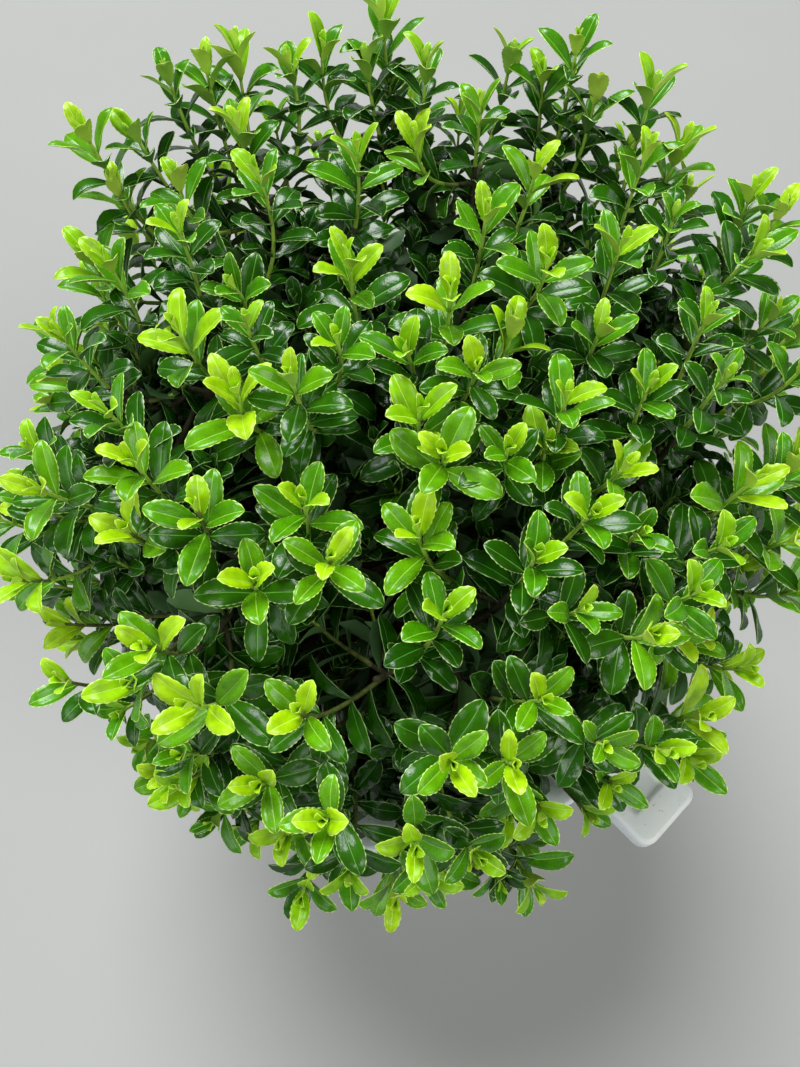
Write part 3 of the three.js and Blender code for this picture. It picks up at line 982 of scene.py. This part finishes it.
barkTexture = {
    "ior": 1.45,
    "streaks": (4, 0.6),  # detail and roughness
    "lengthwise": (1.0, 1.0, 0.22),
    "edges": (0.3, 0.72),
    "flecks": (3, 2),  # scale in streaks' scales, and detail
    "fleckDepth": 0.4,
    "roughness": (0.66, 0.24),
    "bump": (0.0006, 0.7),
}


def barkFinish(name, light, dark, scale):
    # upright streaks between two shades, and finer flecks that change its gloss
    look = barkTexture
    finish = Finish(name, look["ior"])
    streaks = finish.noise(scale, *look["streaks"], finish.stretched(look["lengthwise"]))
    finer, detail = look["flecks"]
    flecks = finish.noise(scale * finer, detail)
    shade = finish.spread(streaks, *look["edges"])
    finish.feed("Base Color", finish.blend(colour(*dark), colour(*light), shade))
    least, flecked = look["roughness"]
    finish.feed("Roughness", least + flecks * flecked)
    finish.bump(streaks + flecks * look["fleckDepth"], *look["bump"])
    return finish.material


# Heights are shares of the limb's radius; wander, grain and swelling give the noise's cell and seed first
barkForm = {
    "finish": ("bark", (84, 76, 48), (42, 36, 23), 260),
    "sides": 28,
    "trunkSides": 48,
    "ridges": 9,
    "ridgeHeight": 0.055,
    "wander": (0.010, 3, 4.8),
    "grain": (0.0022, 5, 0.07),
    "swelling": (0.007, 9, 0.10),
    "stretch": (0.3, 0.3, 1),  # less than 1 widens the swellings that way
    "sunk": 0.085,  # so that the limb stays about as thick as the rule makes it
}


def barkRelief(points, angle, radii):
    # lengthwise ridges that wander round the limb, and a few swellings where buds were
    cell, seed, turn = barkForm["wander"]
    wander = smoothNoise(points, cell, seed) * turn
    ridges = np.abs(np.sin(angle * barkForm["ridges"] / 2 + wander)) * barkForm["ridgeHeight"]
    cell, seed, height = barkForm["grain"]
    ridges = ridges + smoothNoise(points, cell, seed) * height
    cell, seed, height = barkForm["swelling"]
    swelling = (smoothNoise(points * barkForm["stretch"], cell, seed) - 0.5) * height
    return (ridges + swelling - barkForm["sunk"]) * radii[:, :, None]


def barkLimb(node, path, radii, sides):
    points = sweep(path, radii, sides, barkRelief).reshape(-1, 3)
    piece = addPiece(f"bark_{node}", points, sweepFaces(1, path.shape[1], sides), [bark])
    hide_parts(node)


def limbs():
    # the trunk flares by the cube of the way down; leader and boughs taper evenly
    share = np.linspace(0, 1, limb["trunkSteps"])
    flare = limb["trunkFlare"] * (1 - share) ** 3
    radii = limb["trunkRadius"] * (1 - limb["trunkThinning"] * share) + flare
    barkLimb("trunk", trunkPath, radii[None], barkForm["trunkSides"])
    steps, sides = limb["barkSteps"], barkForm["sides"]
    share = np.linspace(0, 1, steps)[None]
    barkLimb("bough_leader", leaderPath(steps), mixed(limb["leaderBase"], limb["boughTip"], share), sides)
    for k, path in enumerate(boughPaths(steps)):
        barkLimb(f"bough_{k + 1}", path[None], mixed(limb["boughBase"], limb["boughTip"], share), sides)


# The tub

tub = {
    "foot": 0.150,
    "footRounding": 0.006,
    "footRing": (0.82, 0.84),  # shares of the foot between which the underside comes down to the ground
    "recess": 0.003,  # and how high it lies inside them
    "mouth": 0.182,
    "wall": 0.005,
    "wallLevels": (0.03, 0.09, 0.15, 0.196),
    "band": (0.199, 0.2005, 0.2065, 0.208),  # a low band round the wall under the rim
    "bandHeight": 0.0012,
    "floor": 0.008,
    "floorFillet": 0.004,
    "insideShares": (0.8, 0.4, 0.05),
    "rim": 0.208,
    "rimThickness": 0.008,
    "rimDrop": 0.016,
    "rimRounding": 0.0025,
    "rimFillet": 0.004,
    "skirt": 0.004,
    "skirtFillet": 0.003,
    "skirtEdge": 0.001,
    "middle": 0.0005,  # radius of the small caps on the axis
    "sides": 144,
    "sharpFrom": 38,  # degrees between two faces
    "outOfTrue": (0.0004, 0.7, 0.2),  # by how much, turned how far, and above which height
    "leafRoom": 0.003,  # leaves keep this far off the rim
    "leafRoomInside": 0.012,
    "leafRoomBelow": 0.004,
}

lug = {
    "turn": math.radians(-47.6),
    "reach": 0.258,
    "seat": 0.014,  # it starts this far inside the rim's edge
    "width": 0.053,
    "thickness": 0.018,
    "step": 0.0005,  # from the tub's top down to its own
    "corner": 0.009,
    "leastCorner": 0.003,
    "rounding": 0.0036,
    "roundSteps": (0.4, 0.8, 1.2, 1.57),
    # insets and heights over the bottom, the top and the hollow's floor
    "underside": [(0.0030, 0.0), (0.0008, 0.0004), (0.0, 0.0015)],
    "hollowRim": [(-0.0030, 0.0), (-0.0012, -0.0005)],
    "hollowFloor": [(0.0, 0.0012), (0.0015, 0.0)],
    "hollowSide": 0.012,  # how far the hollow keeps from its sides
    "hollowEnd": 0.021,  # and from its outer end
    "hollowStart": 0.006,  # and by how much more from its inner end than from its sides
    "hollowDepth": 0.004,
    "sharpFrom": 40,
}


def arcPoints(centre, radius, start, end, count=6):
    # centre + radius * (cos a, sin a) between two angles in degrees
    angle = np.radians(np.linspace(start, end, count))
    return [(centre[0] + radius * math.cos(a), centre[1] + radius * math.sin(a)) for a in angle]


def tubProfile():
    # from the bottom's middle out, up the wall, round the rim and its skirt, and down inside
    top, rim, foot, edge = tubTop, tub["rim"], tub["foot"], tub["skirtEdge"]
    under, hem = top - tub["rimThickness"], top - tub["rimDrop"]
    footRound, rimRound = tub["footRounding"], tub["rimRounding"]
    wallAt = lambda z: mixed(foot, tub["mouth"], (z - footRound) / (under - footRound))
    inward, outward = tub["footRing"]
    profile = [(tub["middle"], tub["recess"]), (foot * inward, tub["recess"]), (foot * outward, 0.0)]
    profile += arcPoints((foot - footRound, footRound), footRound, -90, -8)
    profile += [(wallAt(z), z) for z in tub["wallLevels"]]
    profile += [(wallAt(z) + tub["bandHeight"] * raised, z) for z, raised in zip(tub["band"], (0, 1, 1, 0))]
    fillet = tub["rimFillet"]
    profile += arcPoints((wallAt(under) + fillet, under - fillet), fillet, 180, 90)
    inner, fillet = rim - tub["skirt"], tub["skirtFillet"]
    profile += arcPoints((inner - fillet, under - fillet), fillet, 90, 0, 4)
    profile += [(inner, hem + edge), (inner + edge, hem), (rim - edge, hem), (rim, hem + edge)]
    profile += arcPoints((rim - rimRound, top - rimRound), rimRound, 0, 90)
    mouth, inside, floorLevel = tub["mouth"] - tub["wall"], foot - tub["wall"], tub["floor"]
    profile += arcPoints((mouth + rimRound, top - rimRound), rimRound, 90, 180)
    for share in tub["insideShares"]:
        profile.append((mixed(inside, mouth, share), mixed(floorLevel, top - rimRound, share)))
    return np.array(profile + [(inside - tub["floorFillet"], floorLevel), (tub["middle"], floorLevel)])


def tubShell():
    # the profile turned round the axis; the moulding is a hair out of true
    profile = tubProfile()
    angle = 2 * math.pi * np.arange(tub["sides"]) / tub["sides"]
    radius, height = profile[:, :1], np.broadcast_to(profile[:, 1:], (len(profile), len(angle)))
    points = np.stack([radius * np.cos(angle), radius * np.sin(angle), height], axis=-1)
    sway, turned, level = tub["outOfTrue"]
    points[..., 2] += sway * np.sin(2 * angle + turned) * (height > level)
    faces = turnedFaces(*points.shape[:2])
    piece = addPiece("tub_shell", points.reshape(-1, 3), faces, [plastic])
    sharpEdges(piece, tub["sharpFrom"])
    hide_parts("planter")


def roundedOutline(near, far, width, corner, perCorner=7):
    # a rectangle with four quarter circles for corners, anticlockwise from its far right corner
    half = width / 2
    centres = [
        (far, -half, -1, 1, -90),
        (far, half, -1, -1, 0),
        (near, half, 1, -1, 90),
        (near, -half, 1, 1, 180),
    ]
    points = []
    for x, y, inX, inY, start in centres:
        points += arcPoints((x + inX * corner, y + inY * corner), corner, start, start + 90, perCorner)
    return np.array(points)


def gripLug(number, turn):
    # rings of a rounded outline, drawn in step by step as the profile goes over the edge and into the hollow
    top, bottom = tubTop - lug["step"], tubTop - lug["thickness"]
    edge, side, deep = lug["rounding"], lug["hollowSide"], tubTop - lug["hollowDepth"]
    rings = [(inset, bottom + rise, 0) for inset, rise in lug["underside"]]
    rings.append((0.0, top - edge, 0))
    rings += [(edge - edge * math.cos(a), top - edge + edge * math.sin(a), 0) for a in lug["roundSteps"]]
    rings += [(side + inset, top + rise, 1) for inset, rise in lug["hollowRim"]]
    rings += [(side + inset, deep + rise, 1) for inset, rise in lug["hollowFloor"]]
    near = tub["rim"] - lug["seat"]
    further = lug["hollowEnd"] - lug["hollowSide"]
    points = []
    for inset, height, hollow in rings:
        start = near + inset + hollow * lug["hollowStart"]
        end = lug["reach"] - inset - hollow * further
        corner = max(lug["corner"] - inset, lug["leastCorner"])
        outline = roundedOutline(start, end, lug["width"] - 2 * inset, corner)
        points.append(np.column_stack([outline, np.full(len(outline), height)]))
    points = np.stack(points)
    x, y, z = points[..., 0], points[..., 1], points[..., 2]
    cos, sin = math.cos(turn), math.sin(turn)
    points = np.stack([x * cos - y * sin, x * sin + y * cos, z], axis=-1)
    faces = turnedFaces(*points.shape[:2])
    piece = addPiece(f"grip_lug_{number}", points.reshape(-1, 3), faces, [plastic])
    sharpEdges(piece, lug["sharpFrom"])


plasticTexture = {
    "ior": 1.49,
    "shades": ((232, 240, 247), (240, 243, 244)),
    "clouds": (9, 4, 0.6),
    "cloudEdges": (0.35, 0.7),
    "streaks": (60, 5, 0.65),
    "upright": (1.0, 1.0, 0.12),
    "streakDepth": 0.3,
    "dust": (182, 175, 161),
    "dustUpTo": (0.09, 0.22),  # it thins out up to this height, and by how much
    "dustEdges": (0.56, 0.86),
    "dustCover": 0.4,
    "speck": (120, 110, 92),
    "specks": (420, 2),
    "speckEdges": (0.68, 0.76),
    "speckCover": 0.5,
    "grain": (1500, 2),
    "roughness": (0.34, 0.25, 0.08),  # of the clean plastic, and what dust and grain add
    "bump": (0.00015, 0.5),
}


def plasticFinish():
    # pale grey plastic: slightly uneven colour, rain marks and dust low down, a fine moulded grain
    look = plasticTexture
    finish = Finish("tub_plastic", look["ior"])
    clouds = finish.noise(*look["clouds"])
    height = finish.node("ShaderNodeSeparateXYZ", None, {0: finish.place}, out=2)
    cool, warm = (colour(*shade) for shade in look["shades"])
    pale = finish.blend(cool, warm, finish.spread(clouds, *look["cloudEdges"]))
    streaks = finish.noise(*look["streaks"], finish.stretched(look["upright"]))
    level, more = look["dustUpTo"]
    low = 1 - finish.spread(height, 0.0, level)
    dust = finish.spread(streaks + low * more, *look["dustEdges"])
    specks = finish.spread(finish.noise(*look["specks"]), *look["speckEdges"])
    dusty = finish.blend(pale, colour(*look["dust"]), dust * look["dustCover"])
    finish.feed("Base Color", finish.blend(dusty, colour(*look["speck"]), specks * look["speckCover"]))
    grain = finish.noise(*look["grain"])
    clean, dusted, grained = look["roughness"]
    finish.feed("Roughness", clean + dust * dusted + grain * grained)
    finish.bump(grain + streaks * look["streakDepth"], *look["bump"])
    return finish.material


# The soil

soil = {
    "rings": 70,
    "sides": 200,
    "wallGap": 0.0006,
    "floorGap": 0.0003,
    "middles": (0.002, 0.004),  # radius of the cap below, and the cap on top as a share of the whole
    "fall": 0.006,  # from its middle to its edge
    "sunk": 0.0005,
    "lumps": [(0.016, 11, 0.005), (0.0045, 12, 0.003)],  # cell, seed and height
    "smooth": (0.022, 0.012),  # how far round the trunk it has no lumps, and over which width they begin
    "wallSide": (12, 0.15),  # how steeply they shrink at the wall, and to which share
}

# Loose crumbs, and among them larger bark chips
litterForm = {
    "seed": 5,
    "count": 900,
    "sides": 6,
    "chipEvery": 6,
    "size": (0.0008, 0.0026),
    "shape": (1, 0.7, 0.45),
    "chipShape": (2.2, 1.0, 0.5),  # a chip's size as shares of a crumb's
    "chipFinish": ("bark_chips", (108, 78, 48), (60, 42, 28), 300),
    "peaks": [[0.2, 0, 1], [0, 0.2, -1]],
    "uneven": (0.75, 1.2),
    "lying": 0.4,  # less is flatter
    "tumbled": 0.5,
    "strewn": (0.02, 0.97),  # from this share of the area to this share of the radius
    "height": 0.0006,
}

soilTexture = {
    "ior": 1.4,
    "shades": ((30, 22, 15), (74, 56, 38)),
    "lumps": (160, 6, 0.7),
    "lumpEdges": (0.35, 0.75),
    "crumbs": (700, 3, 0.7),
    "crumbDepth": 0.6,
    "fibre": (112, 88, 58),
    "fibres": (260, 3, 0.6),
    "lengthwise": (1.0, 0.2, 1.0),
    "fibreEdges": (0.62, 0.7),
    "fibreCover": 0.6,
    "roughness": (0.82, 0.16),
    "bump": (0.003, 0.9),
}


def soilFinish():
    # lumps between two browns, with paler fibres and fine crumbs
    look = soilTexture
    finish = Finish("potting_soil", look["ior"])
    lumps = finish.noise(*look["lumps"])
    crumbs = finish.noise(*look["crumbs"])
    dark, light = (colour(*shade) for shade in look["shades"])
    ground = finish.blend(dark, light, finish.spread(lumps, *look["lumpEdges"]))
    fibres = finish.noise(*look["fibres"], finish.stretched(look["lengthwise"]))
    fibres = finish.spread(fibres, *look["fibreEdges"])
    finish.feed("Base Color", finish.blend(ground, colour(*look["fibre"]), fibres * look["fibreCover"]))
    least, crumbed = look["roughness"]
    finish.feed("Roughness", least + crumbs * crumbed)
    finish.bump(lumps + crumbs * look["crumbDepth"], *look["bump"])
    return finish.material


def soilPieces():
    # a disc whose height is its crown plus two sizes of lumps, closed by a flat underside and the wall
    sides, fall, bottom = soil["sides"], soil["fall"], tub["floor"] + soil["floorGap"]
    inside = tub["foot"] - tub["wall"] - soil["wallGap"]
    slope = (tub["mouth"] - tub["foot"]) / (tubTop - tub["floor"])
    wide = inside + slope * (soilTop - fall - tub["floor"])
    middle, middleShare = soil["middles"]
    share = np.linspace(1, middleShare, soil["rings"])[:, None]
    angle = 2 * math.pi * np.arange(sides) / sides
    x, y = wide * share * np.cos(angle), wide * share * np.sin(angle)
    flat = np.stack([x, y, 0 * x], axis=-1)
    lumps = sum((smoothNoise(flat, cell, seed) - 0.5) * height for cell, seed, height in soil["lumps"])
    smooth, width = soil["smooth"]
    steep, least = soil["wallSide"]
    settled = np.clip((share * wide - smooth) / width, 0, 1) * np.clip((1 - share) * steep, least, 1)
    height = soilTop - fall * share**2 + lumps * settled - soil["sunk"]
    top = np.stack([x, y, height], axis=-1)
    radius = np.array([[middle], [inside]])
    below = np.stack([radius * np.cos(angle), radius * np.sin(angle), np.full((2, sides), bottom)], axis=-1)
    points = np.concatenate([below, top])
    faces = turnedFaces(*points.shape[:2])
    piece = addPiece("soil_bed", points.reshape(-1, 3), faces, [soilLook])
    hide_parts("potting_soil")
    litter(wide)


def litter(wide):
    # double cones on a ring of corners, squashed and turned at random
    random = np.random.default_rng(litterForm["seed"])
    count, sides, every = litterForm["count"], litterForm["sides"], litterForm["chipEvery"]
    least, most = litterForm["strewn"]
    radius = wide * most * np.sqrt(random.uniform(least, 1, count))
    angle = random.uniform(0, 2 * math.pi, count)
    height = soilTop - soil["fall"] * (radius / wide) ** 2 + litterForm["height"]
    centre = np.stack([radius * np.cos(angle), radius * np.sin(angle), height], axis=1)
    size = random.uniform(*litterForm["size"], (count, 1)) * litterForm["shape"]
    size[::every] *= litterForm["chipShape"]
    turns = 2 * math.pi * np.arange(sides) / sides
    ring = np.stack([np.cos(turns), np.sin(turns), 0 * turns], axis=1)
    shape = np.concatenate([ring, litterForm["peaks"]])
    ahead = unit(random.normal(0, 1, (count, 3)) * [1, 1, litterForm["lying"]])
    lift = facing(ahead, up + random.normal(0, litterForm["tumbled"], (count, 3)))
    aside = np.cross(lift, ahead)
    rough = shape * random.uniform(*litterForm["uneven"], (count, len(shape), 1)) * size[:, None]
    points = centre[:, None] + rough @ np.stack([ahead, aside, lift], axis=1)
    step = np.arange(sides)
    onward = (step + 1) % sides
    top = np.stack([step, onward, np.full(sides, sides)], axis=1)
    low = np.stack([onward, step, np.full(sides, sides + 1)], axis=1)
    faces = np.concatenate([top, low])[None] + (np.arange(count) * len(shape))[:, None, None]
    finishes = [soilLook, barkFinish(*litterForm["chipFinish"])]
    kinds = np.repeat((np.arange(count) % every == 0).astype(int), 2 * sides)
    faces = [faces.reshape(-1, 3)]
    addPiece("soil_crumbs", points.reshape(-1, 3), faces, finishes, kinds, smooth=False)


# Floor, light and camera

studio = {
    "floorSize": 40.0,
    "floorShades": ((154, 155, 154), (160, 160, 159)),
    "floorNoise": (3, 3),
    "floorRoughness": 0.7,
    "floorIor": 1.45,
    # where the light comes from, how many degrees it spreads, its strength and its tint
    "suns": {
        "sky": ((-0.4, 1.1, 1.85), 32, 3.8, (0.98, 1.0, 1.0)),
        "side": ((1.3, -1.0, 1.55), 32, 1.4, (1.0, 1.0, 0.97)),
        "front": ((-1.5, -1.0, 1.1), 44, 1.1, (0.98, 1.0, 1.0)),
    },
    "worldTint": (0.95, 1.0, 0.86, 1),
    "worldStrength": 0.12,
}

view = {
    "place": np.array([-0.005, -0.272, 0.800]),
    "pitch": math.radians(62.03),  # below the horizon
    "roll": math.radians(0.57),
    "lens": 27.35,
    "imageHeight": 36.0,
    "nearest": 0.01,
}


def floor():
    # a flat square
    corners = np.array([[-1, -1, 0], [1, -1, 0], [1, 1, 0], [-1, 1, 0]]) * studio["floorSize"]
    mesh = bpy.data.meshes.new("floor")
    mesh.from_pydata(corners.tolist(), [], [(0, 1, 2, 3)])
    finish = Finish("pale_floor", studio["floorIor"])
    finish.feed("Roughness", studio["floorRoughness"])
    dark, light = (colour(*shade) for shade in studio["floorShades"])
    finish.feed("Base Color", finish.blend(dark, light, finish.noise(*studio["floorNoise"])))
    mesh.materials.append(finish.material)
    made = bpy.data.objects.new("floor", mesh)
    scene.collection.objects.link(made)


def placed(name, data, right, above, ahead, place):
    # a light or camera that looks ahead from its place
    made = bpy.data.objects.new(name, data)
    turned = np.column_stack([right, above, -ahead, place])
    made.matrix_world = Matrix([*turned.tolist(), [0, 0, 0, 1]])
    scene.collection.objects.link(made)
    return made


def softSun(name, place, spread, strength, tint):
    light = bpy.data.lights.new(name, "SUN")
    light.angle = math.radians(spread)
    light.energy = strength
    light.color = tint
    place = np.array(place)
    right = unit(np.cross(-place, up))
    ahead = unit(-place)
    placed(name, light, right, np.cross(right, ahead), ahead, place)


def lights():
    # three wide suns and a faint even sky
    for name, sun in studio["suns"].items():
        softSun(name, *sun)
    world = bpy.data.worlds.new("studio")
    world.use_nodes = True
    sky = world.node_tree.nodes["Background"]
    sky.inputs["Color"].default_value = studio["worldTint"]
    sky.inputs["Strength"].default_value = studio["worldStrength"]
    scene.world = world
    scene.view_settings.view_transform = "Standard"


def camera():
    # it looks down by the pitch, rolled about the way it looks
    pitch, roll = view["pitch"], view["roll"]
    ahead = np.array([0, math.cos(pitch), -math.sin(pitch)])
    level = np.array([1.0, 0, 0])
    above = np.cross(level, ahead)
    right = level * math.cos(roll) - above * math.sin(roll)
    top = level * math.sin(roll) + above * math.cos(roll)
    lens = bpy.data.cameras.new("camera")
    lens.sensor_fit = "VERTICAL"
    lens.sensor_height = view["imageHeight"]
    lens.lens = view["lens"]
    lens.clip_start = view["nearest"]
    scene.camera = placed("camera", lens, right, top, ahead, view["place"])


# Making

bark = barkFinish(*barkForm["finish"])
plastic = plasticFinish()
soilLook = soilFinish()

floor()
lights()
camera()
print("studio made")

tubShell()
gripLug(1, lug["turn"])
gripLug(2, lug["turn"] + math.pi)
soilPieces()
print("tub and soil made")

limbs()
stems, twigs = mainTwigs()
shoots = allShoots(twigs)
twigPieces(stems, twigs, shoots)
print("limbs and twigs made")

leaves = allLeaves(shoots)
youngest = -99.0
for kind in leafKinds:
    leafPieces(kind, leaves, youngest)
    youngest = kind["upTo"]
print("leaves made:", len(leaves["age"]))
